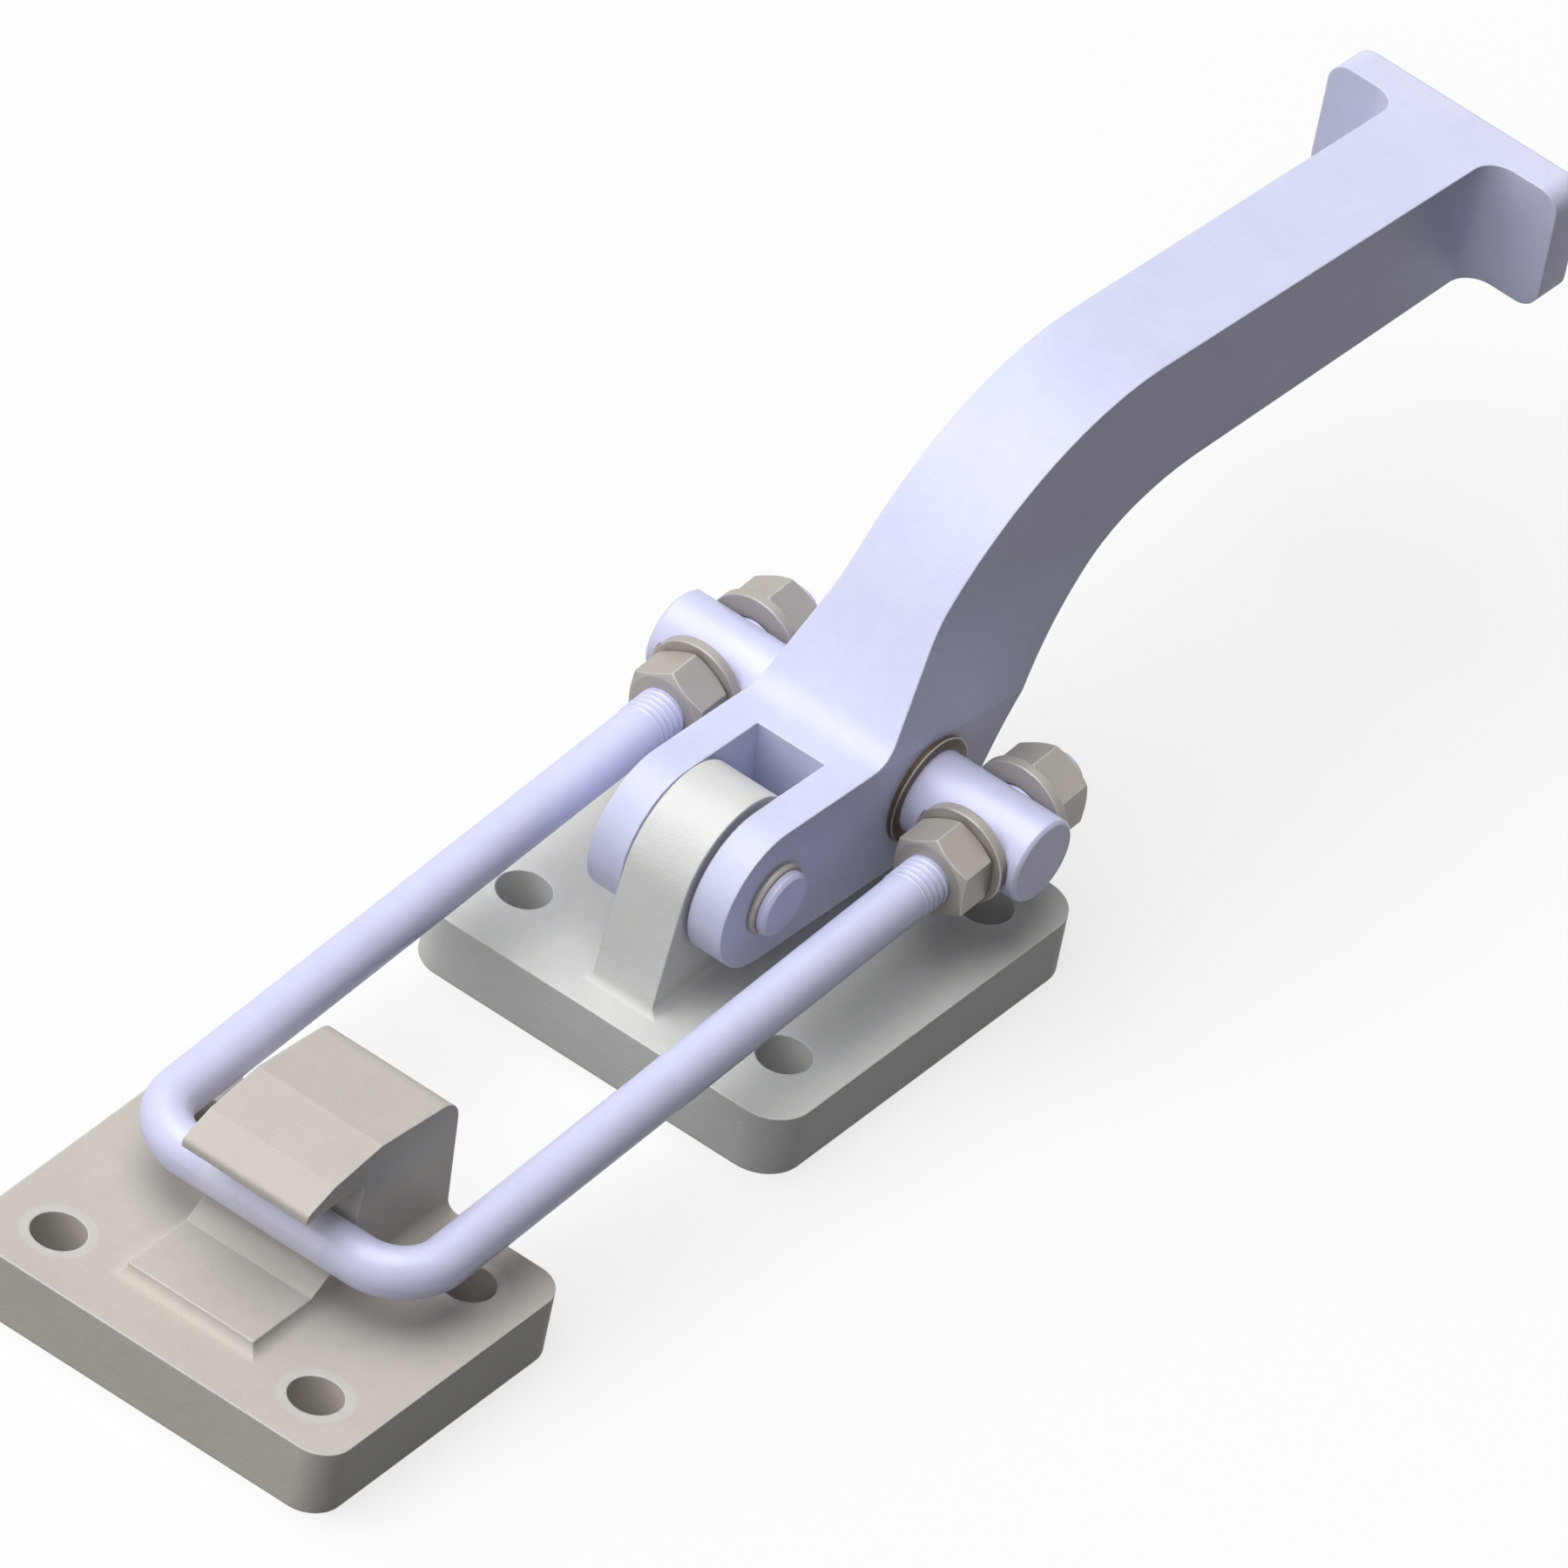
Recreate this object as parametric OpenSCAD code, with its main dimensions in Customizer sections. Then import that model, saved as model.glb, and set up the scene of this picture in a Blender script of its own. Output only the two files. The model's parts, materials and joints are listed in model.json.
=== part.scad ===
// Heavy pull-action latch clamp, shown closed and locked.
// Millimetres. X runs from the catch plate to the hand grip, Z is up, and Z = 0 is the mounting face.
// The origin is the middle of the mounting base's four bolt holes.

/* [Mounting base] */
// Thickness of the base plate
base_t = 16; // [12:1:22]
// Width of the base plate
base_w = 104; // [98:1:130]
// Corner radius of the base plate
base_corner_r = 10; // [4:1:12]
// Bolt spacing along the clamp
base_pitch_x = 74; // [66:1:90]
// Bolt spacing across the clamp
base_pitch_y = 73; // [66:1:80]
// Bolt hole diameter, for M12
base_hole_d = 13; // [9:0.5:14]
// From the front pair of holes to the front edge
base_front_margin = 21; // [16:1:30]
// From the rear pair of holes to the rear edge
base_rear_margin = 17; // [14:1:26]
// Height of the pivot above the mounting face
pivot_h = 44; // [43:1:52]
// From the middle of the holes forward to the pivot
pivot_setback = 26; // [20:1:30]
// Thickness of the pivot lug
lug_t = 16.5; // [14:0.5:18]
// Radius of the lug's round top
lug_r = 19.5; // [17:0.5:20]
// Lean of the lug's front and rear faces, in degrees
lug_lean = 7; // [4:1:10]
// Fillet round the foot of the lug
lug_foot_r = 2.5; // [1:0.5:4]

/* [Pivot] */
// Diameter of the pivot pin
pin_d = 16; // [12:0.5:18]
// How far the pin stands out of the fork on each side
pin_proud = 4.2; // [3.5:0.1:6]
// Wall of the pivot bushes
pivot_bush_wall = 2; // [1.5:0.25:3]
// Thickness of the pivot bushes' thrust flanges
pivot_flange_t = 1; // [0.75:0.25:1.5]
// Diameter of the pivot bushes' thrust flanges
pivot_flange_d = 27; // [24:1:30]
// Wire of the snap rings on the pin
ring_wire_d = 1.8; // [1.2:0.1:2]
// Depth of the rings' grooves in the pin
ring_groove = 0.7; // [0.4:0.1:0.9]
// Opening of the snap rings, in degrees
ring_opening = 30; // [20:5:60]

/* [Handle] */
// Thickness of each arm of the fork
fork_arm_t = 9.3; // [7:0.1:11]
// Radius of the fork's round noses
nose_r = 18; // [16:0.5:20]
// Fall of the fork's top and underside towards the trunnion, in degrees
fork_fall = 3.2; // [2:0.2:4]
// From the pivot to the corner where the ramp starts
ramp_start = 39; // [37:1:42]
// Slope of the ramp above the fork, in degrees
ramp_angle = 54; // [50:1:58]
// Fillet between the fork's top and the ramp
ramp_fillet_r = 9; // [5:1:11]
// Radius of the bend from the ramp into the arm
arm_bend_r = 84; // [60:2:88]
// Width of the arm
arm_w = 26; // [22:1:30]
// Fall of the arm's top towards the grip, in degrees
arm_fall = 5; // [3:0.5:7]
// Height of the grip's top above the pivot
grip_top = 63.6; // [56:0.2:68]
// Depth of the arm and the grip, where they meet
arm_depth = 33; // [26:1:38]
// Fall of the arm's underside towards the grip, in degrees
belly_fall = 3; // [2:0.5:4]
// Radius of the throat between the arm and the fork's back
throat_r = 78; // [60:2:84]
// Lean of the fork's back, in degrees from level
back_angle = 62; // [58:1:66]
// From the trunnion to the fork's back
back_wall = 24; // [20:1:28]
// Radius of the corner under the trunnion
heel_r = 20; // [10:1:24]
// Level at which the fork starts to narrow, above the pivot
flare_low = 20.4; // [19:0.5:24]
// Level at which it reaches the arm's width, above the pivot
flare_high = 49; // [44:1:54]
// Radius that blends the flare into the arm's sides
flare_blend_r = 52; // [20:4:60]
// Fall of the flare's edges towards the grip, in degrees
flare_fall = 8; // [6:0.5:10]
// From the pivot to the front of the grip
grip_x = 256; // [220:2:280]
// Thickness of the grip, front to back
grip_t = 10; // [8:0.5:14]
// Width of the grip
grip_w = 64; // [54:1:80]
// Radius of the grip's corners
grip_corner_r = 5.5; // [3:0.5:8]
// Fillet between the arm and the grip
neck_r = 6.5; // [4:0.5:9]
// From the pivot to the fork's end wall, at the fork's top
slot_end = 27; // [26:0.5:29]
// Undercut of that end wall, in degrees
slot_lean = 10; // [4:1:12]

/* [Trunnion] */
// From the pivot back to the trunnion
trunnion_x = 56.4; // [54:0.2:60]
// From the pivot down to the trunnion
trunnion_drop = 1.2; // [0.6:0.2:2.4]
// Diameter of the trunnion
trunnion_d = 21; // [19:0.5:22]
// Length of the trunnion
trunnion_len = 104; // [101:1:120]
// Edge chamfer of the trunnion and the pin
bar_chamfer = 0.8; // [0.4:0.1:1.2]
// From the trunnion's axis to its spot faces
spot_face = 9.5; // [8.5:0.1:10]
// Wall of the trunnion bushes
trunnion_bush_wall = 1.5; // [1:0.25:2]
// Length of each trunnion bush in the handle
trunnion_bush_len = 14; // [8:1:16]
// Thickness of the trunnion bushes' flanges
trunnion_flange_t = 1.5; // [1:0.25:2]
// Diameter of the trunnion bushes' flanges
trunnion_flange_d = 27; // [26.5:0.5:30]

/* [Latch bow] */
// Diameter of the bow's rod, M12 at its ends
rod_d = 12; // [10:0.5:13]
// From one leg to the other, between axes
leg_pitch = 74.4; // [70:0.2:78]
// Bend radius of the rod's axis
bend_r = 13.5; // [11:0.5:18]
// From the pivot forward to the rod in the hook
latch_reach = 153; // [140:1:175]
// Height of the rod in the hook above the mounting face
rod_h = 32; // [31.5:0.1:34]
// How far the threaded ends stand out of the rear nuts
thread_proud = 4; // [3.6:0.1:6]

/* [Nuts and washers] */
// Width of the nuts across flats
nut_af = 19; // [17:0.5:20]
// Height of the nuts
nut_h = 10.8; // [8:0.2:12]
// Diameter of the nuts' flat ends, inside their chamfers
nut_face_d = 18; // [16:0.2:18.4]
// Outer diameter of the washers
washer_d = 24; // [22:0.5:26]
// Thickness of the washers
washer_t = 2.5; // [1.5:0.1:3]
// Bore of the washers
washer_bore = 13; // [13:0.1:14]

/* [Catch plate] */
// Thickness of the catch plate
catch_t = 17; // [12:0.5:18]
// Width of the catch plate
catch_w = 104; // [96:1:130]
// Length of the catch plate
catch_len = 87.5; // [82:0.5:100]
// Corner radius of the catch plate
catch_corner_r = 8; // [4:1:12]
// Bolt spacing along the clamp
catch_pitch_x = 55; // [50:1:62]
// Bolt spacing across the clamp
catch_pitch_y = 72; // [66:1:80]
// Bolt hole diameter, for M12
catch_hole_d = 13; // [9:0.5:14]
// Width of the hook
hook_w = 35; // [28:0.5:44]
// Height of the hook's crown above the mounting face
hook_h = 55; // [53:0.5:60]
// Lean of the hook's back, in degrees
hook_lean = 7; // [4:1:10]
// Radius of the hook's rear shoulder
hook_shoulder_r = 8; // [4:1:10]
// From the rod back to the hook's crown
hook_crown_x = 10.5; // [9:0.5:14]
// Fall of the hook's top behind the crown, in degrees
hook_top_fall = 6; // [3:0.5:8]
// Drop of the hook's top from the crown to above the front of the rod
hook_brow_drop = 2.3; // [1.5:0.1:3]
// Drop of the hook's top from the crown to the tip
hook_tip_drop = 5.8; // [4.5:0.1:6]
// Radius of the hook's tip
hook_tip_r = 1.5; // [0.5:0.1:2]
// Radius in the corner under the hook
hook_root_r = 3; // [2:0.2:4]
// From the rod forward to the tip of the hook
hook_lip = 15; // [12:0.5:18]
// Height of the slot's roof above the mounting face
slot_roof = 47; // [46.6:0.2:48]
// Height of the low pad above the plate
pad_h = 3; // [2:0.25:3.5]
// From the rod forward to the front of the pad
pad_front = 27; // [22:1:32]
// Slope of the ramp up to the rod's seat, in degrees
seat_ramp = 35; // [25:1:35]
// Fillet round the foot of the hook and the pad
catch_foot_r = 3; // [1.5:0.5:4]

/* [Fits] */
// Running clearance of a pin in its bush, on the radius
run_gap = 0.05; // [0.02:0.01:0.1]
// Clearance between the thrust flanges and the fork
side_gap = 0.15; // [0.1:0.05:0.3]
// Clearance of the rod in the trunnion's cross holes, on the radius
rod_gap = 0.5; // [0.3:0.1:0.6]
// Clearance of the threads and of the nuts' seats
thread_gap = 0.05; // [0.02:0.01:0.1]
// Clearance of the rod in the hook's seat
seat_gap = 0.3; // [0.2:0.05:0.5]

/* [Hidden] */
$fn = 96;

// Colours of the finishes
steel_light = [0.80, 0.81, 0.92];
steel_grey = [0.82, 0.82, 0.80];
warm_grey = [0.76, 0.73, 0.69];
zinc_tan = [0.66, 0.63, 0.58];
bronze = [0.62, 0.50, 0.34];

// Far enough to cut through anything
far = 400;
// Overlap that joins solids of one piece
weld = 0.5;
// How far a rounding arc stands over its edges, so that it crosses them cleanly
arc_bite = 0.002;

// Places of the axes
pivot = [-pivot_setback, 0, pivot_h];
trunnion_at = pivot + [trunnion_x, 0, -trunnion_drop];
rod_at = [pivot[0] - latch_reach, 0, rod_h];
leg_rise = trunnion_at[2] - rod_at[2];
leg_run = trunnion_at[0] - rod_at[0];
leg_slope = atan2(leg_rise, leg_run);
leg_len = norm([leg_run, leg_rise]);

// Fork, slot and bush sizes that follow from the lug and the arms
slot_w = lug_t + 2 * pivot_flange_t + 2 * side_gap;
fork_w = slot_w + 2 * fork_arm_t;
pin_bore = pin_d + 2 * run_gap;
pivot_bush_d = pin_bore + 2 * pivot_bush_wall;
trunnion_bore = trunnion_d + 2 * run_gap;
trunnion_bush_d = trunnion_bore + 2 * trunnion_bush_wall;
ring_seat_r = pin_d / 2 - ring_groove;

// Stack on the legs, from the trunnion's axis outwards
washer_seat = spot_face;
nut_seat = washer_seat + washer_t + thread_gap;
nut_end = nut_seat + nut_h;
thread_end = nut_end + thread_proud;

// Places on the base
base_front = -base_pitch_x / 2 - base_front_margin;
base_rear = base_pitch_x / 2 + base_rear_margin;
base_len = base_rear - base_front;

// Unit vector in the plane of a profile
function along(a) = [cos(a), sin(a)];

// Crossing of two lines, each given by a point and a direction angle
function crossing(p, a, q, b) =
    p + along(a) * ((q - p)[0] * sin(b) - (q - p)[1] * cos(b)) / sin(b - a);

// Outline through corners [x, y, radius], drawn anticlockwise, with true arcs at the corners.
// An outer corner is cut back to its arc; an inner one is filled to its chord and cut by a circle.
module outline(corners) {
    count = len(corners);
    difference() {
        polygon([for (i = [0 : count - 1]) each corner_points(corners, i)]);
        for (i = [0 : count - 1]) {
            if (corners[i][2] > 0 && turn(corners, i) > 0) corner_wedge(corners, i);
            if (corners[i][2] > 0 && turn(corners, i) < 0)
                translate(arc_centre(corners, i)) circle(corners[i][2] + arc_bite);
        }
    }
}

// Directions from a corner to its neighbours, and the sense in which the outline turns there
function to_prev(c, i) = unit(tip(c, (i + len(c) - 1) % len(c)) - tip(c, i));
function to_next(c, i) = unit(tip(c, (i + 1) % len(c)) - tip(c, i));
function tip(c, i) = [c[i][0], c[i][1]];
function unit(v) = v / norm(v);
function turn(c, i) =
    to_prev(c, i)[1] * to_next(c, i)[0] - to_prev(c, i)[0] * to_next(c, i)[1];

// Where a corner's arc has its centre, and where it touches the two edges
function half_angle(c, i) = acos(to_prev(c, i) * to_next(c, i)) / 2;
function arc_centre(c, i) =
    tip(c, i) + unit(to_prev(c, i) + to_next(c, i)) * c[i][2] / sin(half_angle(c, i));
function arc_start(c, i) = tip(c, i) + to_prev(c, i) * c[i][2] / tan(half_angle(c, i));
function arc_end(c, i) = tip(c, i) + to_next(c, i) * c[i][2] / tan(half_angle(c, i));
function corner_points(c, i) =
    c[i][2] > 0 && turn(c, i) < 0 ? [arc_start(c, i), arc_end(c, i)] : [tip(c, i)];

// The sliver between a sharp corner and the arc that rounds it, a little over the outline's edges
module corner_wedge(c, i) {
    centre = arc_centre(c, i);
    over = 1 + weld / c[i][2];
    translate(centre) difference() {
        polygon([
            [0, 0], (arc_start(c, i) - centre) * over,
            (tip(c, i) - centre) * over, (arc_end(c, i) - centre) * over
        ]);
        circle(c[i][2] + arc_bite);
    }
}

// Extrudes a profile drawn in X and Z, centred on Y = 0
module extrude_across(width) {
    rotate([90, 0, 0]) linear_extrude(width, center = true) children();
}

// Bar along Y, centred, with chamfered ends
module cross_bar(d, length, chamfer) {
    rotate([90, 0, 0]) rotate_extrude() polygon([
        [0, -length / 2], [d / 2 - chamfer, -length / 2], [d / 2, -length / 2 + chamfer],
        [d / 2, length / 2 - chamfer], [d / 2 - chamfer, length / 2], [0, length / 2]
    ]);
}

// Rectangle with round corners, from true arcs
module round_rect(size, r) {
    outline([
        [-size[0] / 2, -size[1] / 2, r], [size[0] / 2, -size[1] / 2, r],
        [size[0] / 2, size[1] / 2, r], [-size[0] / 2, size[1] / 2, r]
    ]);
}

// Four holes at the corners of a rectangle
module bolt_holes(pitch_x, pitch_y, d) {
    for (x = [-1, 1], y = [-1, 1])
        translate([x * pitch_x / 2, y * pitch_y / 2, -1]) cylinder(h = far, d = d);
}

// Extrudes a section drawn in Y and Z along X, centred on X = 0
module extrude_along(length) {
    rotate([90, 0, 90]) linear_extrude(length, center = true) children();
}

// Section of a concave fillet in the corner of x = 0 and y = 0, sunk into both sides
module fillet_section(r) {
    difference() {
        translate([-weld, -weld]) square(r + weld);
        translate([r, r]) circle(r + arc_bite);
    }
}

// Section through an upright wall that stands on y = 0, with fillets along both its feet
module footed_wall(width, r) {
    translate([-width / 2, -weld]) square([width, far]);
    for (s = [0, 1])
        mirror([s, 0]) translate([width / 2, 0]) fillet_section(r);
}

// Side -1 is right, seen from behind the grip, and 1 is left
module mounting_base() {
    color(steel_grey) difference() {
        union() {
            translate([(base_front + base_rear) / 2, 0, 0])
                linear_extrude(base_t) round_rect([base_len, base_w], base_corner_r);
            translate([pivot[0], 0, base_t]) intersection() {
                extrude_across(base_w / 2) lug_profile();
                extrude_along(base_len) footed_wall(lug_t, lug_foot_r);
            }
        }
        bolt_holes(base_pitch_x, base_pitch_y, base_hole_d);
        translate(pivot) rotate([90, 0, 0]) cylinder(h = far, d = pivot_bush_d, center = true);
    }
}

// Side view of the lug, from the base plate's top under the pivot
module lug_profile() {
    eye = pivot_h - base_t;
    waist = lug_r * cos(lug_lean);
    waist_z = eye + lug_r * sin(lug_lean);
    foot = waist + waist_z * tan(lug_lean);
    toe = foot + 2 * lug_foot_r;
    translate([0, eye]) circle(lug_r + arc_bite);
    outline([
        [-toe, -weld, 0], [toe, -weld, 0], [foot, 0, lug_foot_r],
        [waist, waist_z, 0], [-waist, waist_z, 0], [-foot, 0, lug_foot_r]
    ]);
}

module pivot_bush(side) {
    color(bronze) translate(pivot) rotate([-90 * side, 0, 0]) difference() {
        union() {
            translate([0, 0, side_gap / 2]) cylinder(h = lug_t / 2, d = pivot_bush_d);
            translate([0, 0, lug_t / 2]) cylinder(h = pivot_flange_t, d = pivot_flange_d);
        }
        cylinder(h = far, d = pin_bore, center = true);
    }
}

module pivot_pin() {
    groove = fork_w / 2 + ring_wire_d / 2;
    color(steel_light) translate(pivot) difference() {
        cross_bar(pin_d, fork_w + 2 * pin_proud, bar_chamfer);
        for (s = [-1, 1])
            translate([0, s * (groove + thread_gap), 0]) rotate([90, 0, 0])
                linear_extrude(ring_wire_d + 2 * thread_gap, center = true) difference() {
                    circle(pin_d);
                    circle(ring_seat_r);
                }
    }
}

// Round-wire snap ring in the pin's groove, with its gap at the bottom
module pin_ring(side) {
    color(steel_light)
        translate(pivot + [0, side * (fork_w / 2 + ring_wire_d / 2 + thread_gap), 0])
            rotate([90, 90 + ring_opening / 2, 0]) rotate_extrude(angle = 360 - ring_opening)
                translate([ring_seat_r + ring_wire_d / 2 + thread_gap, 0])
                    circle(d = ring_wire_d, $fn = 24);
}

module handle() {
    color(steel_light) translate(pivot) difference() {
        intersection() {
            extrude_across(far) handle_profile();
            union() {
                handle_flare();
                handle_grip();
            }
        }
        grip_corners();
        // Slot for the lug
        extrude_across(slot_w) polygon([
            [-far, -far], [slot_end + (nose_r + far) * tan(slot_lean), -far],
            [slot_end + (nose_r - far) * tan(slot_lean), far], [-far, far]
        ]);
        rotate([90, 0, 0]) cylinder(h = far, d = pin_d, center = true);
        translate([trunnion_x, 0, -trunnion_drop])
            rotate([90, 0, 0]) cylinder(h = far, d = trunnion_bush_d, center = true);
    }
}

// Side view of the handle, from the pivot
module handle_profile() {
    nose_top = nose_r * [sin(fork_fall), cos(fork_fall)];
    nose_foot = -nose_top;
    ramp_foot = nose_top + along(-fork_fall) * (ramp_start - nose_top[0]) / cos(fork_fall);
    grip_crest = [grip_x, grip_top];
    grip_belly = [grip_x, grip_top - arm_depth];
    back_point = [trunnion_x, -trunnion_drop] + back_wall * [sin(back_angle), -cos(back_angle)];
    bend = crossing(ramp_foot, ramp_angle, grip_crest, -arm_fall);
    throat = crossing(grip_belly, -belly_fall, back_point, back_angle);
    heel = crossing(nose_foot, -fork_fall, back_point, back_angle);
    circle(nose_r + arc_bite);
    outline([
        [0, 0, 0], [nose_foot[0], nose_foot[1], 0],
        [heel[0], heel[1], heel_r],
        [throat[0], throat[1], throat_r],
        [grip_x + grip_t, grip_belly[1] - grip_t * tan(belly_fall), 0],
        [grip_x + grip_t, grip_top - grip_t * tan(arm_fall), 0],
        [bend[0], bend[1], arm_bend_r],
        [ramp_foot[0], ramp_foot[1], ramp_fillet_r],
        [nose_top[0], nose_top[1], 0]
    ]);
}

// Section of the handle along the arm: the fork's width, a flare and the arm's width
module handle_flare() {
    low = flare_low * cos(flare_fall);
    high = flare_high * cos(flare_fall);
    rotate([0, flare_fall, 0]) translate([-far / 2, 0, 0]) rotate([90, 0, 90])
        linear_extrude(far * 2) outline([
            [-fork_w / 2, -far / 2, 0], [fork_w / 2, -far / 2, 0], [fork_w / 2, low, 0],
            [arm_w / 2, high, flare_blend_r], [arm_w / 2, far / 2, 0], [-arm_w / 2, far / 2, 0],
            [-arm_w / 2, high, flare_blend_r], [-fork_w / 2, low, 0]
        ]);
}

// Plan of the hand grip and of the necks that join it to the arm
module handle_grip() {
    translate([0, 0, -far / 2]) linear_extrude(far) {
        translate([grip_x, -grip_w / 2]) square([2 * grip_t, grip_w]);
        for (s = [0, 1])
            mirror([0, s]) translate([grip_x, arm_w / 2]) mirror([1, 0]) fillet_section(neck_r);
    }
}

// Cuts that round the grip's four corners
module grip_corners() {
    half = grip_w / 2;
    for (s = [-1, 1]) {
        translate([grip_x, 0, grip_top]) rotate([0, arm_fall, 0]) extrude_along(far / 2)
            corner_wedge([[0, 0], [s * half, 0, grip_corner_r], [s * half, -far]], 1);
        translate([grip_x, 0, grip_top - arm_depth]) rotate([0, belly_fall, 0])
            extrude_along(far / 2)
                corner_wedge([[0, 0], [s * half, 0, grip_corner_r], [s * half, far]], 1);
    }
}

// Places children on the plane of the legs: X along them, the trunnion's axis at x = 0
module on_legs() {
    translate(trunnion_at) rotate([0, -leg_slope, 0]) children();
}

// Cylinder along the legs' direction, from x0 to x1 on one side
module leg_cylinder(side, x0, x1, d) {
    translate([x0, side * leg_pitch / 2, 0]) rotate([0, 90, 0]) cylinder(h = x1 - x0, d = d);
}

module trunnion() {
    color(steel_light) on_legs() difference() {
        cross_bar(trunnion_d, trunnion_len, bar_chamfer);
        for (side = [-1, 1]) {
            leg_cylinder(side, -trunnion_d, trunnion_d, rod_d + 2 * rod_gap);
            leg_cylinder(side, washer_seat, trunnion_d, washer_d + 2 * rod_gap);
            leg_cylinder(side, -trunnion_d, -washer_seat, washer_d + 2 * rod_gap);
        }
    }
}

module trunnion_bush(side) {
    color(bronze) translate(trunnion_at) rotate([-90 * side, 0, 0]) difference() {
        union() {
            translate([0, 0, fork_w / 2 - trunnion_bush_len])
                cylinder(h = trunnion_bush_len, d = trunnion_bush_d);
            translate([0, 0, fork_w / 2]) cylinder(h = trunnion_flange_t, d = trunnion_flange_d);
        }
        cylinder(h = far, d = trunnion_bore, center = true);
    }
}

module latch_bow() {
    bend_x = -leg_len + bend_r;
    straight = leg_pitch - 2 * bend_r;
    color(steel_light) on_legs() {
        translate([-leg_len, 0, 0]) rotate([90, 0, 0])
            cylinder(h = straight, d = rod_d, center = true);
        for (side = [-1, 1]) {
            translate([bend_x, side * straight / 2, 0]) rotate([0, 0, 135 - 45 * side])
                rotate_extrude(angle = 90) translate([bend_r, 0]) circle(d = rod_d);
            leg_cylinder(side, bend_x, thread_end - bar_chamfer, rod_d);
            translate([thread_end - bar_chamfer, side * leg_pitch / 2, 0]) rotate([0, 90, 0])
                cylinder(h = bar_chamfer, d1 = rod_d, d2 = rod_d - 2 * bar_chamfer);
        }
    }
}

// Stands on a corner. End -1 is the front of the trunnion and 1 is its rear
module hex_nut(end, side) {
    corner_r = nut_af / 2 / cos(30);
    face_r = nut_face_d / 2;
    bevel = (corner_r - face_r) * tan(30);
    color(zinc_tan) on_legs() translate([end * nut_seat, side * leg_pitch / 2, 0])
        rotate([0, 90 * end, 0]) difference() {
            intersection() {
                cylinder(h = nut_h, r = corner_r, $fn = 6);
                rotate_extrude() polygon([
                    [0, 0], [face_r, 0], [corner_r, bevel],
                    [corner_r, nut_h - bevel], [face_r, nut_h], [0, nut_h]
                ]);
            }
            cylinder(h = far, d = rod_d + 2 * thread_gap, center = true);
        }
}

module washer(end, side) {
    color(zinc_tan) on_legs() translate([end * washer_seat, side * leg_pitch / 2, 0])
        rotate([0, 90 * end, 0]) difference() {
            cylinder(h = washer_t, d = washer_d);
            cylinder(h = far, d = washer_bore, center = true);
        }
}

module catch_plate() {
    color(warm_grey) translate([rod_at[0], 0, 0]) {
        difference() {
            linear_extrude(catch_t) round_rect([catch_len, catch_w], catch_corner_r);
            bolt_holes(catch_pitch_x, catch_pitch_y, catch_hole_d);
        }
        translate([0, 0, catch_t]) intersection() {
            extrude_across(catch_w) hook_profile();
            extrude_along(catch_len) footed_wall(hook_w, catch_foot_r);
        }
    }
}

// Side view of the hook and its pad, from the catch plate's top under the rod
module hook_profile() {
    back = catch_len / 2;
    seat_r = rod_d / 2 + seat_gap;
    seat_z = rod_h - catch_t;
    roof = slot_roof - catch_t;
    crown = [hook_crown_x, hook_h - catch_t];
    brow = [-rod_d / 2, crown[1] - hook_brow_drop];
    tip = [-hook_lip, crown[1] - hook_tip_drop];
    shoulder = crossing([back, 0], 90 + hook_lean, crown, -hook_top_fall);
    ramp_top = [0, seat_z] + seat_r * [sin(seat_ramp), -cos(seat_ramp)];
    ramp_foot = crossing(ramp_top, seat_ramp, [0, pad_h], 0);
    difference() {
        outline([
            [-pad_front, -weld, 0], [back - weld, -weld, 0], [back, 0, 0],
            [shoulder[0], shoulder[1], hook_shoulder_r],
            [crown[0], crown[1], 0], [brow[0], brow[1], 0], [tip[0], tip[1], hook_tip_r],
            [-hook_lip, roof, 0], [seat_r, roof, hook_root_r],
            [seat_r, seat_z, 0], [ramp_top[0], ramp_top[1], 0],
            [ramp_foot[0], ramp_foot[1], 0], [-pad_front, pad_h, 0]
        ]);
        translate([0, seat_z]) circle(seat_r + arc_bite);
    }
    translate([-pad_front, 0]) mirror([1, 0]) fillet_section(catch_foot_r);
}

mounting_base();
pivot_bush(1);  // pivot_bush_left
pivot_bush(-1);  // pivot_bush_right
pivot_pin();
pin_ring(1);  // pin_ring_left
pin_ring(-1);  // pin_ring_right
handle();
trunnion();
trunnion_bush(1);  // trunnion_bush_left
trunnion_bush(-1);  // trunnion_bush_right
latch_bow();
hex_nut(-1, 1);  // nut_front_left
hex_nut(-1, -1);  // nut_front_right
hex_nut(1, 1);  // nut_rear_left
hex_nut(1, -1);  // nut_rear_right
washer(-1, 1);  // washer_front_left
washer(-1, -1);  // washer_front_right
washer(1, 1);  // washer_rear_left
washer(1, -1);  // washer_rear_right
catch_plate();
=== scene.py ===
"""Finishes, light and camera for a heavy latch clamp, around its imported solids."""
import json
import math

import bpy
from bpy.props import FloatProperty, FloatVectorProperty, PointerProperty
from mathutils import Matrix, Vector


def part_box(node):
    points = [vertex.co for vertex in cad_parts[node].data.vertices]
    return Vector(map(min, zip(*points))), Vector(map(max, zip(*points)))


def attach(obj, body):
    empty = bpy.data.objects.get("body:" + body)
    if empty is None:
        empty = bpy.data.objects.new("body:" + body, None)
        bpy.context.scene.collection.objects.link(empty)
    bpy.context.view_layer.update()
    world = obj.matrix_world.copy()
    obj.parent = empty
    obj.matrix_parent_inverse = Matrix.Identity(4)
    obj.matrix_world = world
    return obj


bl_info = {
    "name": "Latch clamp finishes",
    "version": (1, 0, 0),
    "blender": (4, 5, 0),
    "location": "View3D > Sidebar > Latch clamp",
    "description": "Dresses the solids of a pull-action latch clamp and sets its stage",
    "category": "Object",
}

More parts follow.
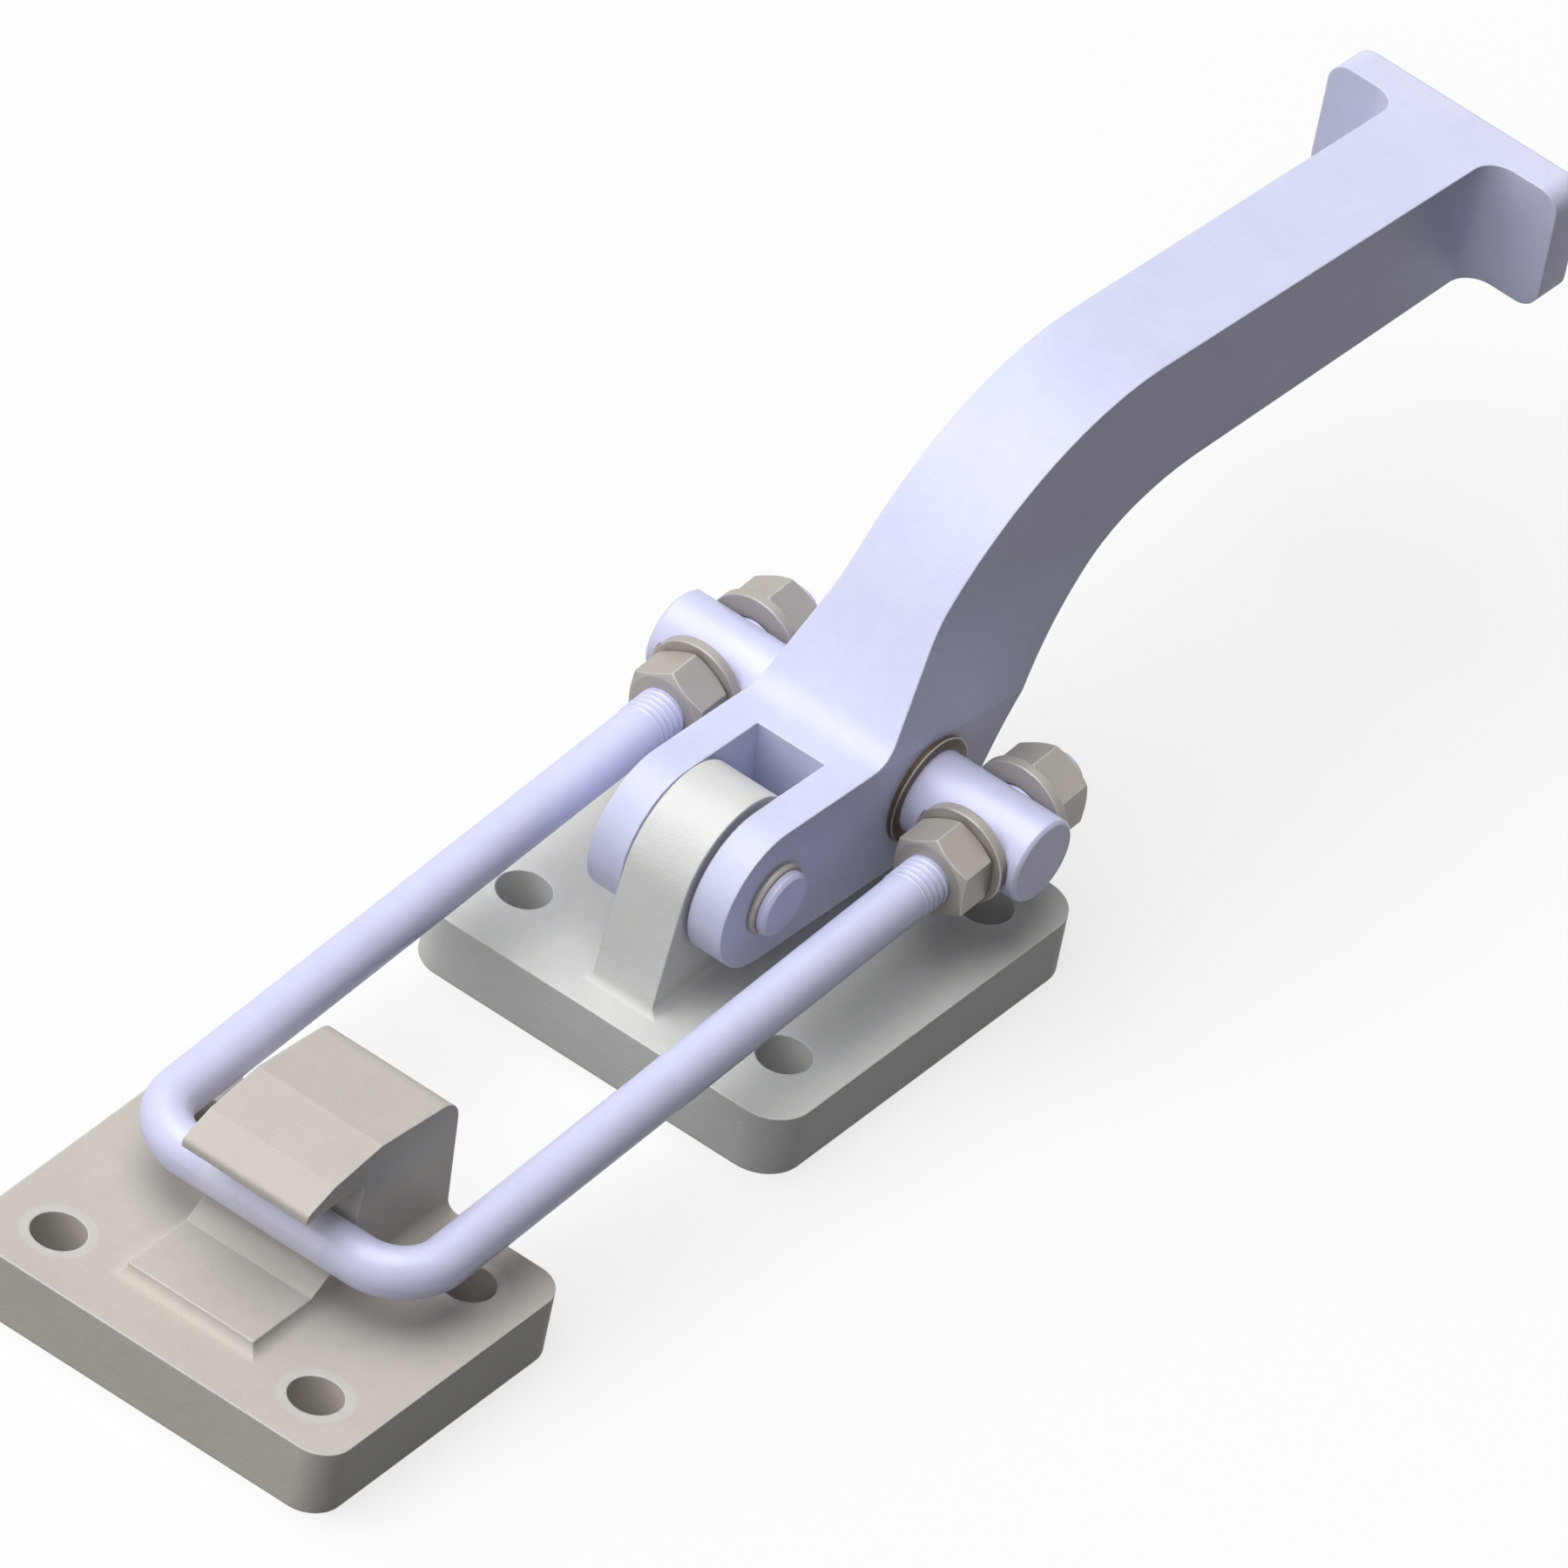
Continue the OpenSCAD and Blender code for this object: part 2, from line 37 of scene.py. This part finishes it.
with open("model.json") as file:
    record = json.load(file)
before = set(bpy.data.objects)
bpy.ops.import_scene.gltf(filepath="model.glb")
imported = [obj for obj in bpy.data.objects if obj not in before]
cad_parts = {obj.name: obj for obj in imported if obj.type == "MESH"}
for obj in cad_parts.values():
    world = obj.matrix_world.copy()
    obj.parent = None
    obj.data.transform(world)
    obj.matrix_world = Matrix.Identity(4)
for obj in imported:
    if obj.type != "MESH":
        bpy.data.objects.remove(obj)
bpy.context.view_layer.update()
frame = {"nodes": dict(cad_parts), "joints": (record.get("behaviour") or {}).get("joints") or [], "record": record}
NODES = frame["nodes"]
JOINTS = {joint["name"]: joint for joint in frame["joints"]}
MOUNTS = {mount["name"]: mount for mount in frame["record"]["mounts"]}

# Lengths are in metres, and X runs from the hook to the grip, Y across and Z up
ALONG_X = (1, 0, 0)
ALONG_Y = (0, 1, 0)
ALONG_Z = (0, 0, 1)

# The camera's axes, the point that the picture is centred on, and the width that it shows there
CAMERA_RIGHT = Vector((0.6003, -0.7829, 0.1634))
CAMERA_UP = Vector((0.4416, 0.4948, 0.7485))
PICTURE_CENTRE = Vector((0.0018, 0.0, 0.0484))
PICTURE_WIDTH = 0.3448
CAMERA_DISTANCE = 15.0
SENSOR_WIDTH = 36.0

# The key light, and the brighter part of the sky
KEY_SIDE = Vector((-0.08, 0.22, 0.97)).normalized()
KEY_DISTANCE = 2.0
KEY_SPREAD = math.radians(60.0)
SKY_SIDE = Vector((-0.60, 0.42, 0.68)).normalized()
SKY_FALLOFF = 3.0

# The floor: white where it is seen, and dark for the light that it throws back on the clamp
FLOOR_SIZE = 30.0
FLOOR_DROP = 0.0002
FLOOR_GLOW = 0.72
FLOOR_PALE = (0.92, 0.92, 0.92, 1.0)
FLOOR_DIM = (0.05, 0.05, 0.055, 1.0)
WHITE = (1.0, 1.0, 1.0, 1.0)

# The noises in every metal finish, in features per metre
MOTTLE_SCALE = 38.0
CLOUD_SCALE = 230.0
GRAIN_SCALE = 1500.0
MARK_SCALE = 60.0

# The plating's dull and bright shades, and how it wears at its edges
DULL_SHADE = 0.91
BRIGHT_SHADE = 1.05
WEAR_SHARPNESS = 9.0
WEAR_UNEVENNESS = 0.9
EDGE_WEAR = 0.55
BEVEL_SAMPLES = 6
BUMP_STRENGTH = 0.6
SPECULAR_LEVEL = 0.25

# The shine of each kind of surface, and the marks of drawing along X and of turning round Y
FORGED_METALLIC = 0.03
BAR_ROUGHNESS = 0.34
BAR_METALLIC = 0.10
DRAWN_LAY = (0.6, 40.0, 40.0)
TURNED_LAY = (0.8, 60.0, 0.8)
MARK_DEPTH = 0.00001

# The bow's threads: a point and the direction of the left leg, and the run from that point
LEG_POINT = Vector(JOINTS["nut_front_left_turn"]["pos_m"])
LEG_ALONG = Vector(JOINTS["nut_front_left_turn"]["axis"]).normalized()
THREAD_START = -0.0135
THREAD_PITCH = 0.00175
THREAD_END_GAP = 0.0018
THREAD_STEPS = 48
THREAD_EDGE_RADIUS = 0.00008
ROD_RADIUS = 0.006

# A ridge's section is a diamond, sunk a little into the rod
RIDGE_CORNERS = 4
RIDGE_HALF_WIDTH = 0.00082
RIDGE_HALF_HEIGHT = 0.00045
RIDGE_SINK = 0.00018
SMOOTH_ANGLE = math.radians(40.0)
MERGE_DISTANCE = 0.000001

# The places that are rubbed bright in use, and the plates' tops, which the screw prints and the lug's painted
# highlight start from
ROD_SEAT = Vector(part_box("latch_bow")[0]) + Vector((ROD_RADIUS, 0.0, ROD_RADIUS))
PIVOT = Vector(JOINTS["handle_hinge"]["pos_m"])
PLATE_TOP = {"base_bolts": 0.016, "catch_bolts": 0.017}


class Signal:
    """One output of a node. Arithmetic on it adds Math nodes to the same tree."""

    def __init__(self, board, node, out=0):
        self.board = board
        self.node = node
        self.socket = node.outputs[out] if node.outputs else None

    def out(self, name):
        return Signal(self.board, self.node, name)

    def maths(self, operation, *values):
        return self.board.node("ShaderNodeMath", {"operation": operation}, dict(enumerate(values)))

    def __add__(self, other):
        return self.maths("ADD", self, other)

    def __radd__(self, other):
        return self.maths("ADD", other, self)

    def __sub__(self, other):
        return self.maths("SUBTRACT", self, other)

    def __rsub__(self, other):
        return self.maths("SUBTRACT", other, self)

    def __mul__(self, other):
        return self.maths("MULTIPLY", self, other)

    def __rmul__(self, other):
        return self.maths("MULTIPLY", other, self)

    def __truediv__(self, other):
        return self.maths("DIVIDE", self, other)

    def __pow__(self, other):
        return self.maths("POWER", self, other)

    def __abs__(self):
        return self.maths("ABSOLUTE", self)

    def at_least(self, other):
        return self.maths("MAXIMUM", self, other)

    def at_most(self, other):
        return self.maths("MINIMUM", self, other)

    def clamped(self):
        return self.at_least(0.0).at_most(1.0)

    def above(self, level, soft):
        """0 up to a level and 1 beyond it, over a soft step."""
        return ((self - level) / soft).clamped()

    def below(self, level, soft):
        """1 short of a level and 0 from it on, over a soft step."""
        return ((level - self) / soft).clamped()

    def inside(self, low, high, soft):
        """1 between two levels and 0 outside them, over soft steps."""
        return self.above(low, soft) * self.below(high, soft)


class Board:
    """The node tree of a material or of the world."""

    def __init__(self, owner):
        owner.use_nodes = True
        self.tree = owner.node_tree
        self.tree.nodes.clear()

    def node(self, kind, options=None, inputs=None):
        """Adds a node: its options first, then the values or links of its sockets."""
        node = self.tree.nodes.new(kind)
        for name, value in (options or {}).items():
            setattr(node, name, value)
        for name, value in (inputs or {}).items():
            if isinstance(value, Signal):
                self.tree.links.new(value.socket, node.inputs[name])
            else:
                node.inputs[name].default_value = value
        return Signal(self, node)

    def noise(self, place, scale, detail, stretch=(1, 1, 1)):
        """Noise from -1 to 1 on Object coordinates, with a scale in features per metre."""
        stretched = self.node("ShaderNodeMapping", None, {"Vector": place, "Scale": stretch})
        noise = self.node("ShaderNodeTexNoise", None,
                          {"Vector": stretched, "Scale": scale, "Detail": detail})
        return noise * 2.0 - 1.0

    def dot(self, first, second):
        """The dot product of two vectors."""
        return self.node("ShaderNodeVectorMath", {"operation": "DOT_PRODUCT"},
                         {0: first, 1: second}).out("Value")

    def along(self, place, direction, origin=(0, 0, 0)):
        """The distance of a place from an origin, measured along a direction."""
        return self.dot(place, tuple(direction)) - Vector(origin).dot(Vector(direction))

    def from_cross_axis(self, place, origin):
        """The distance of a place from the line along Y through an origin."""
        return hypotenuse(self.along(place, ALONG_X, origin), self.along(place, ALONG_Z, origin))

    def mix_colour(self, factor, low, high):
        mix = self.node("ShaderNodeMix", {"data_type": "RGBA"}, {"Factor": factor, 6: low, 7: high})
        return mix.out(2)

    def seen(self):
        """1 for rays that show a surface, straight, mirrored or through glass, and 0 for light."""
        path = self.node("ShaderNodeLightPath")
        rays = path.out("Is Camera Ray") + path.out("Is Glossy Ray")
        return (rays + path.out("Is Transmission Ray")).clamped()


def hypotenuse(first, second):
    return (first * first + second * second) ** 0.5


def linear(colour):
    """A display colour as the linear colour, with alpha, that shaders take."""
    channels = (c / 12.92 if c < 0.04045 else ((c + 0.055) / 1.055) ** 2.4 for c in colour)
    return (*channels, 1.0)


def shaded(colour, shade):
    """A linear colour made darker or lighter."""
    return (*(min(c * shade, 1.0) for c in colour[:3]), 1.0)


def colour_setting(name, description, default):
    return FloatVectorProperty(name=name, description=description, subtype="COLOR",
                               size=3, min=0.0, max=1.0, default=default)


class LatchClampSettings(bpy.types.PropertyGroup):
    """Finishes and light of the latch clamp."""

    base_colour: colour_setting(
        "Base", "Plating of the mounting base", (0.87, 0.872, 0.852))
    catch_colour: colour_setting(
        "Catch plate", "Warm plating of the catch plate and its hook", (0.79, 0.767, 0.735))
    handle_colour: colour_setting(
        "Handle", "Bluish plating of the handle", (0.865, 0.88, 1.0))
    bar_colour: colour_setting(
        "Bars", "Bluish plating of the bow, the trunnion and the pin", (0.855, 0.865, 0.985))
    fastener_colour: colour_setting(
        "Nuts and washers", "Tan plating of the nuts and washers", (0.72, 0.695, 0.665))
    bush_colour: colour_setting(
        "Bushes", "Bearing bronze", (0.42, 0.36, 0.29))
    # The colour of worn edges and rubbed places, and also of the lug's painted highlight on the base
    worn_and_highlight_colour: colour_setting(
        "Worn edges", "Bright steel where the plating is rubbed through", (0.93, 0.93, 0.95))
    edge_radius: FloatProperty(
        name="Edge radius", description="Rounding of the edges in the finish",
        subtype="DISTANCE", unit="LENGTH", min=0.0, max=0.003, default=0.0007)
    key_strength: FloatProperty(
        name="Key light", description="Strength of the main light",
        min=0.0, max=10.0, default=1.6)
    sky_strength: FloatProperty(
        name="Sky", description="Strength of the sky's brighter part",
        min=0.0, max=4.0, default=1.7)
    sky_ambient: FloatProperty(
        name="Ambient", description="Level of the light from all round",
        min=0.0, max=1.0, default=0.03)


def settings():
    return bpy.context.scene.latch_clamp


def steel_finish(name, colour, roughness, metallic, grain, lay=(1, 1, 1), lay_depth=0.0,
                 rubbed=None, edge_radius=None):
    """A metal finish: mottled plating, fine grain, tool or drawing marks, and edges worn bright.

    grain is the depth of the grain in metres; lay stretches the marks, which are thin across
    the axes with large numbers and long along those with small ones. rubbed is a function of
    the board and the place that says where the plating is rubbed, and on the base also where
    the lug is painted lighter as a highlight."""
    look = settings()
    material = bpy.data.materials.new(name)
    board = Board(material)
    place = board.node("ShaderNodeTexCoord").out("Object")
    mottle = board.noise(place, MOTTLE_SCALE, 3.0)
    clouds = board.noise(place, CLOUD_SCALE, 4.0)
    fine = board.noise(place, GRAIN_SCALE, 2.0)
    marks = board.noise(place, MARK_SCALE, 2.0, lay)

    # An edge is where the rounded normal turns away from the flat one
    rounded = board.node("ShaderNodeBevel", {"samples": BEVEL_SAMPLES},
                         {"Radius": edge_radius or look.edge_radius})
    flat = board.node("ShaderNodeNewGeometry").out("Normal")
    edge = (1.0 - board.dot(rounded, flat)) * WEAR_SHARPNESS
    wear_and_highlight = (edge * (1.0 + WEAR_UNEVENNESS * clouds)).clamped() * EDGE_WEAR
    # Wear on edges and rubbed places, and on the base also the lug's painted highlight
    if rubbed:
        wear_and_highlight = wear_and_highlight.at_least(rubbed(board, place) * (0.6 + 0.2 * mottle))

    plating = linear(colour)
    tone = (0.5 + 0.45 * mottle + 0.25 * clouds + 0.2 * marks).clamped()
    plated = board.mix_colour(tone, shaded(plating, DULL_SHADE), shaded(plating, BRIGHT_SHADE))
    skin = board.mix_colour(wear_and_highlight, plated, linear(look.worn_and_highlight_colour))
    rough = (roughness + 0.05 * clouds + 0.04 * marks - 0.12 * wear_and_highlight).clamped()
    height = (fine * 0.6 + clouds * 0.8) * grain + marks * lay_depth
    bump = board.node("ShaderNodeBump", None,
                      {"Strength": BUMP_STRENGTH, "Distance": 1.0, "Height": height,
                       "Normal": rounded})
    shader = board.node("ShaderNodeBsdfPrincipled", None,
                        {"Base Color": skin, "Metallic": (metallic + 0.35 * wear_and_highlight).clamped(),
                         "Roughness": rough, "Normal": bump,
                         "Specular IOR Level": SPECULAR_LEVEL})
    board.node("ShaderNodeOutputMaterial", None, {"Surface": shader})
    return material


def seat_rub(board, place):
    """Where the rod and the hook rub on each other."""
    reach, half_width, soft, strength = 0.0085, 0.018, 0.002, 0.5
    near_rod = board.from_cross_axis(place, ROD_SEAT).below(reach, soft)
    between_sides = abs(board.along(place, ALONG_Y)).below(half_width, soft)
    return near_rod * between_sides * strength


def lug_painted_highlight(board, place):
    """The lug above its foot, painted lighter and more metallic as a highlight."""
    foot, soft, strength = 0.003, 0.003, 0.35
    return board.along(place, ALONG_Z).above(PLATE_TOP["base_bolts"] + foot, soft) * strength


def screw_prints(mount):
    """Faint rings that screw heads have left round a plate's bolt holes."""
    bore_edge, head_edge, soft = 0.0060, 0.0092, 0.0006
    depth, depth_soft, strength = 0.0003, 0.0002, 0.25

    def print_ring(board, place):
        dims = MOUNTS[mount]["dims"]
        centre = MOUNTS[mount]["pos_m"]
        ahead = abs(board.along(place, ALONG_X, centre)) - dims["spacing_x_mm"] / 2000
        across = abs(board.along(place, ALONG_Y, centre)) - dims["spacing_y_mm"] / 2000
        ring = hypotenuse(ahead, across).inside(bore_edge, head_edge, soft)
        on_top = board.along(place, ALONG_Z).above(PLATE_TOP[mount] - depth, depth_soft)
        return ring * on_top * strength
    return print_ring


def pivot_rub(board, place):
    """A ring on the fork's sides, round the pin."""
    inner, outer, soft, strength = 0.0085, 0.0105, 0.0008, 0.5
    return board.from_cross_axis(place, PIVOT).inside(inner, outer, soft) * strength


def hand_polish(board, place):
    """Where hands polish the grip."""
    start, soft, strength = -0.014, 0.02, 0.4
    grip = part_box("handle")[1]
    return board.along(place, ALONG_X, grip).above(start, soft) * strength


def both(first, second):
    """Two masks added on one finish: rubbed places, and on the base also the lug's painted highlight."""
    return lambda board, place: (first(board, place) + second(board, place)).clamped()


def dress(material, *names):
    """Gives CAD nodes a finish."""
    for name in names:
        for slot in NODES[name].material_slots:
            slot.material = material


class LATCHCLAMP_OT_stage(bpy.types.Operator):
    """Sets the camera, the floor, the key light and the world"""

    bl_idname = "latch_clamp.stage"
    bl_label = "Stage"

    def execute(self, context):
        scene = context.scene
        scene.view_settings.view_transform = "Standard"
        self.add_camera(scene)
        self.add_floor()
        self.add_key_light(scene)
        self.set_world(scene)
        return {"FINISHED"}

    def add_camera(self, scene):
        """A very long lens far away, because the picture is a parallel projection."""
        camera = bpy.data.cameras.new("camera")
        camera.sensor_width = SENSOR_WIDTH
        camera.lens = SENSOR_WIDTH * CAMERA_DISTANCE / PICTURE_WIDTH
        right = CAMERA_RIGHT.normalized()
        back = right.cross(CAMERA_UP).normalized()
        up = back.cross(right)
        turn = Matrix((right, up, back)).transposed().to_4x4()
        holder = bpy.data.objects.new("camera", camera)
        holder.matrix_world = Matrix.Translation(PICTURE_CENTRE + back * CAMERA_DISTANCE) @ turn
        scene.collection.objects.link(holder)
        scene.camera = holder

    def add_key_light(self, scene):
        """One broad sun, as from a large soft box."""
        sun = bpy.data.lights.new("key", "SUN")
        sun.energy = settings().key_strength
        sun.angle = KEY_SPREAD
        lamp = bpy.data.objects.new("key", sun)
        lamp.rotation_euler = KEY_SIDE.to_track_quat("Z", "Y").to_euler()
        lamp.location = KEY_SIDE * KEY_DISTANCE
        scene.collection.objects.link(lamp)

    def add_floor(self):
        """A pale floor that is near white where it is seen or mirrored, and keeps the shadow."""
        bpy.ops.mesh.primitive_plane_add(size=FLOOR_SIZE, location=(0.0, 0.0, -FLOOR_DROP))
        floor = bpy.context.object
        floor.name = "floor"
        material = bpy.data.materials.new("floor")
        board = Board(material)
        pale = board.node("ShaderNodeBsdfDiffuse", None, {"Color": FLOOR_PALE})
        glow = board.node("ShaderNodeEmission", None, {"Color": WHITE, "Strength": 1.0})
        bright = board.node("ShaderNodeMixShader", None, {0: FLOOR_GLOW, 1: pale, 2: glow})
        dim = board.node("ShaderNodeBsdfDiffuse", None, {"Color": FLOOR_DIM})
        mixed = board.node("ShaderNodeMixShader", None, {0: board.seen(), 1: dim, 2: bright})
        board.node("ShaderNodeOutputMaterial", None, {"Surface": mixed})
        floor.data.materials.append(material)

    def set_world(self, scene):
        """White where it is seen, and a graded sky for the light on the clamp."""
        look = settings()
        world = bpy.data.worlds.new("studio")
        scene.world = world
        board = Board(world)
        direction = board.node("ShaderNodeTexCoord").out("Generated")
        towards = board.along(direction, SKY_SIDE).clamped()
        sky = look.sky_ambient + look.sky_strength * towards ** SKY_FALLOFF
        seen = board.seen()
        strength = seen + sky * (1.0 - seen)
        light = board.node("ShaderNodeBackground", None, {"Color": WHITE, "Strength": strength})
        board.node("ShaderNodeOutputWorld", None, {"Surface": light})


class LATCHCLAMP_OT_forgings(bpy.types.Operator):
    """Finishes the three forgings: the mounting base, the catch plate and the handle"""

    bl_idname = "latch_clamp.forgings"
    bl_label = "Forgings"

    def execute(self, context):
        look = settings()
        # On the base, the screw prints are wear and the lug's lighter colour above its foot is a painted highlight
        base = steel_finish("base_steel", look.base_colour,
                            roughness=0.46, metallic=FORGED_METALLIC, grain=0.00011,
                            rubbed=both(screw_prints("base_bolts"), lug_painted_highlight))
        catch = steel_finish("catch_steel", look.catch_colour,
                             roughness=0.48, metallic=FORGED_METALLIC, grain=0.00011,
                             rubbed=both(screw_prints("catch_bolts"), seat_rub))
        handle = steel_finish("handle_steel", look.handle_colour,
                              roughness=0.42, metallic=FORGED_METALLIC, grain=0.00009,
                              rubbed=both(pivot_rub, hand_polish))
        dress(base, "mounting_base")
        dress(catch, "catch_plate")
        dress(handle, "handle")
        return {"FINISHED"}


class LATCHCLAMP_OT_bars(bpy.types.Operator):
    """Finishes the drawn and turned bars: the bow, the trunnion, the pin and its rings"""

    bl_idname = "latch_clamp.bars"
    bl_label = "Bars"

    def execute(self, context):
        look = settings()
        drawn = steel_finish("drawn_bar", look.bar_colour,
                             roughness=BAR_ROUGHNESS, metallic=BAR_METALLIC, grain=0.00003,
                             lay=DRAWN_LAY, lay_depth=MARK_DEPTH, rubbed=seat_rub)
        turned = steel_finish("turned_bar", look.bar_colour,
                              roughness=BAR_ROUGHNESS, metallic=BAR_METALLIC, grain=0.00003,
                              lay=TURNED_LAY, lay_depth=MARK_DEPTH)
        wire = steel_finish("spring_wire", look.fastener_colour,
                            roughness=0.34, metallic=0.4, grain=0.00002)
        dress(drawn, "latch_bow")
        dress(turned, "trunnion", "pivot_pin")
        dress(wire, "pin_ring_left", "pin_ring_right")
        return {"FINISHED"}


class LATCHCLAMP_OT_threads(bpy.types.Operator):
    """Rolls the helical threads on the ends of the bow's two legs"""

    bl_idname = "latch_clamp.threads"
    bl_label = "Threads"

    def execute(self, context):
        finish = steel_finish("thread_steel", settings().bar_colour,
                              roughness=BAR_ROUGHNESS, metallic=BAR_METALLIC, grain=0.00001,
                              edge_radius=THREAD_EDGE_RADIUS)
        self.add_ridge()
        bpy.ops.object.duplicate(linked=False)
        right, left = context.object, bpy.data.objects["bow_thread_left"]
        right.name = "bow_thread_right"
        start = LEG_POINT + LEG_ALONG * THREAD_START
        for ridge, side in ((left, 1.0), (right, -1.0)):
            ridge.location = (start.x, start.y * side, start.z)
            ridge.rotation_euler = LEG_ALONG.to_track_quat("Z", "Y").to_euler()
            ridge.data.materials.append(finish)
            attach(ridge, "bow")
        bpy.ops.object.select_all(action="DESELECT")
        left.select_set(True)
        right.select_set(True)
        bpy.ops.object.transform_apply(location=True, rotation=True, scale=True)
        return {"FINISHED"}

    def add_ridge(self):
        """One helical ridge round the Z axis: a flattened diamond, swept and closed at its ends."""
        rod_end = (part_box("latch_bow")[1].x - LEG_POINT.x) / LEG_ALONG.x
        turns = int((rod_end - THREAD_END_GAP - THREAD_START) / THREAD_PITCH)
        bpy.ops.object.select_all(action="DESELECT")
        bpy.ops.mesh.primitive_circle_add(
            vertices=RIDGE_CORNERS, radius=1.0, fill_type="NOTHING",
            rotation=(math.pi / 2, 0.0, 0.0), location=(ROD_RADIUS - RIDGE_SINK, 0.0, 0.0))
        ridge = bpy.context.object
        ridge.name = "bow_thread_left"
        ridge.scale = (RIDGE_HALF_HEIGHT, RIDGE_HALF_WIDTH, 1.0)
        bpy.ops.object.transform_apply(location=True, rotation=True, scale=True)
        sweep = ridge.modifiers.new("sweep", "SCREW")
        sweep.screw_offset = THREAD_PITCH
        sweep.iterations = turns
        sweep.steps = THREAD_STEPS
        sweep.render_steps = THREAD_STEPS
        bpy.ops.object.modifier_apply(modifier=sweep.name)
        bpy.ops.object.mode_set(mode="EDIT")
        bpy.ops.mesh.select_all(action="SELECT")
        bpy.ops.mesh.remove_doubles(threshold=MERGE_DISTANCE)
        bpy.ops.mesh.fill_holes(sides=RIDGE_CORNERS)
        bpy.ops.mesh.normals_make_consistent(inside=False)
        bpy.ops.object.mode_set(mode="OBJECT")
        bpy.ops.object.shade_smooth_by_angle(angle=SMOOTH_ANGLE)


class LATCHCLAMP_OT_fasteners(bpy.types.Operator):
    """Finishes the nuts and the washers"""

    bl_idname = "latch_clamp.fasteners"
    bl_label = "Nuts and washers"

    def execute(self, context):
        nuts = steel_finish("nut_steel", settings().fastener_colour,
                            roughness=0.38, metallic=0.3, grain=0.00003)
        for corner in ("front_left", "front_right", "rear_left", "rear_right"):
            dress(nuts, "nut_" + corner, "washer_" + corner)
        return {"FINISHED"}


class LATCHCLAMP_OT_bushes(bpy.types.Operator):
    """Finishes the bronze bushes of the pivot and the trunnion"""

    bl_idname = "latch_clamp.bushes"
    bl_label = "Bushes"

    def execute(self, context):
        bronze = steel_finish("bush_bronze", settings().bush_colour,
                              roughness=0.40, metallic=0.5, grain=0.00003,
                              lay=TURNED_LAY, lay_depth=MARK_DEPTH)
        for side in ("left", "right"):
            dress(bronze, "pivot_bush_" + side, "trunnion_bush_" + side)
        return {"FINISHED"}


class LATCHCLAMP_PT_panel(bpy.types.Panel):
    """Steps and settings of the latch clamp"""

    bl_idname = "LATCHCLAMP_PT_panel"
    bl_label = "Latch clamp"
    bl_space_type = "VIEW_3D"
    bl_region_type = "UI"
    bl_category = "Latch clamp"

    def draw(self, context):
        for operator in OPERATORS:
            self.layout.operator(operator.bl_idname)
        for name in LatchClampSettings.__annotations__:
            self.layout.prop(settings(), name)


OPERATORS = (LATCHCLAMP_OT_stage, LATCHCLAMP_OT_forgings, LATCHCLAMP_OT_bars,
             LATCHCLAMP_OT_threads, LATCHCLAMP_OT_fasteners, LATCHCLAMP_OT_bushes)
CLASSES = (LatchClampSettings, *OPERATORS, LATCHCLAMP_PT_panel)


def register():
    for cls in CLASSES:
        bpy.utils.register_class(cls)
    bpy.types.Scene.latch_clamp = PointerProperty(type=LatchClampSettings)


def unregister():
    del bpy.types.Scene.latch_clamp
    for cls in reversed(CLASSES):
        bpy.utils.unregister_class(cls)


def main():
    register()
    bpy.ops.latch_clamp.stage()
    bpy.ops.latch_clamp.forgings()
    bpy.ops.latch_clamp.bars()
    bpy.ops.latch_clamp.threads()
    bpy.ops.latch_clamp.fasteners()
    bpy.ops.latch_clamp.bushes()


if __name__ == "__main__":
    main()
